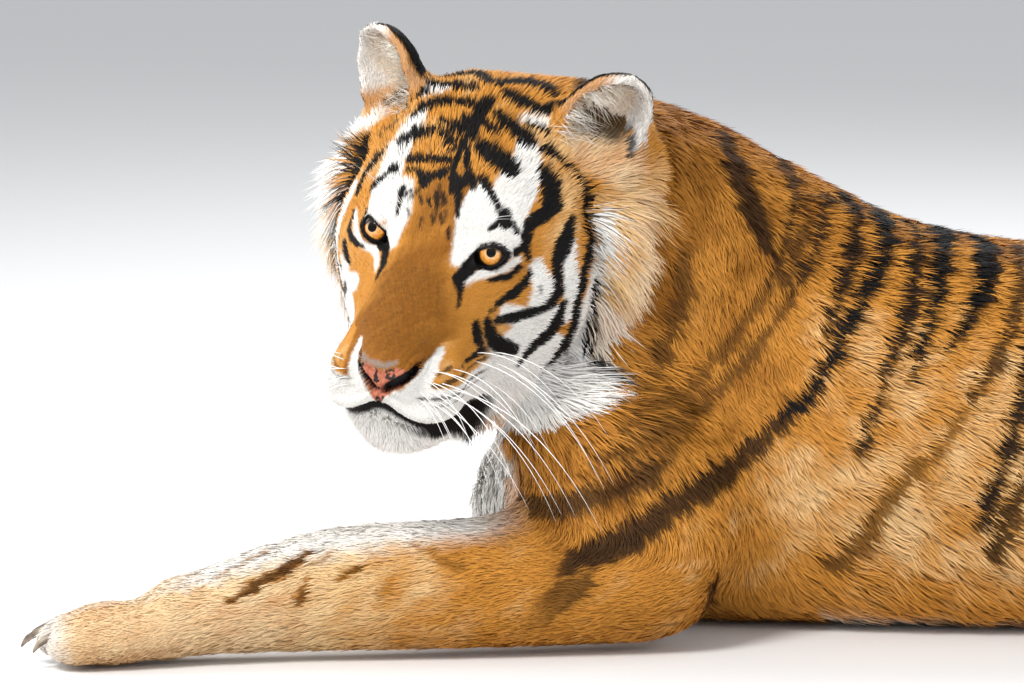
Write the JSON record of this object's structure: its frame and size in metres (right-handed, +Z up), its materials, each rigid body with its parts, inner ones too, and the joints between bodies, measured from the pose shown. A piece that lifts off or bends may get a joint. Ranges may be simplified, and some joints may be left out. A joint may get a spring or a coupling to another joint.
{
  "type": "siberian tiger",
  "caption": "Still, life-size Siberian tiger lying on its chest and belly, head turned to its left and the near foreleg stretched forward, as a museum figure.",
  "frame": {"origin": "middle of the footprint, on the floor that the animal lies on", "axes": "+X towards the tail, +Y towards the animal's right side, +Z up; the stretched foreleg points to -X"},
  "size_m": [1.9093, 0.8612, 0.6375],
  "materials": {
    "orange_coat": "short dense fur",
    "pale_coat": "long pale fur",
    "nose_leather": "bare moist skin",
    "amber_eye": "wet and glossy",
    "claw_horn": "satin horn"
  },
  "bodies": {
    "root": {"head": "orange_coat", "muzzle": "orange_coat", "ear_left": "orange_coat", "ear_right": "orange_coat", "neck": "orange_coat", "chest": "orange_coat", "hips": "orange_coat", "shoulder_left": "orange_coat", "shoulder_right": "orange_coat", "forearm_left": "orange_coat", "forearm_right": "orange_coat", "paw_front_left": "orange_coat", "paw_front_right": "orange_coat", "thigh_left": "orange_coat", "thigh_right": "orange_coat", "shank_left": "orange_coat", "shank_right": "orange_coat", "paw_hind_left": "orange_coat", "paw_hind_right": "orange_coat", "tail_root": "orange_coat", "tail_middle": "orange_coat", "tail_tip": "orange_coat", "jaw": "pale_coat", "belly": "pale_coat", "nose": "nose_leather", "eye_left": "amber_eye", "eye_right": "amber_eye", "claw_front_left_1": "claw_horn", "claw_front_left_2": "claw_horn", "claw_front_left_3": "claw_horn", "claw_front_left_4": "claw_horn", "claw_hind_left_1": "claw_horn", "claw_hind_left_2": "claw_horn", "claw_hind_left_3": "claw_horn", "claw_hind_left_4": "claw_horn", "claw_hind_right_1": "claw_horn", "claw_hind_right_2": "claw_horn", "claw_hind_right_3": "claw_horn", "claw_hind_right_4": "claw_horn"}
  },
  "joints": []
}
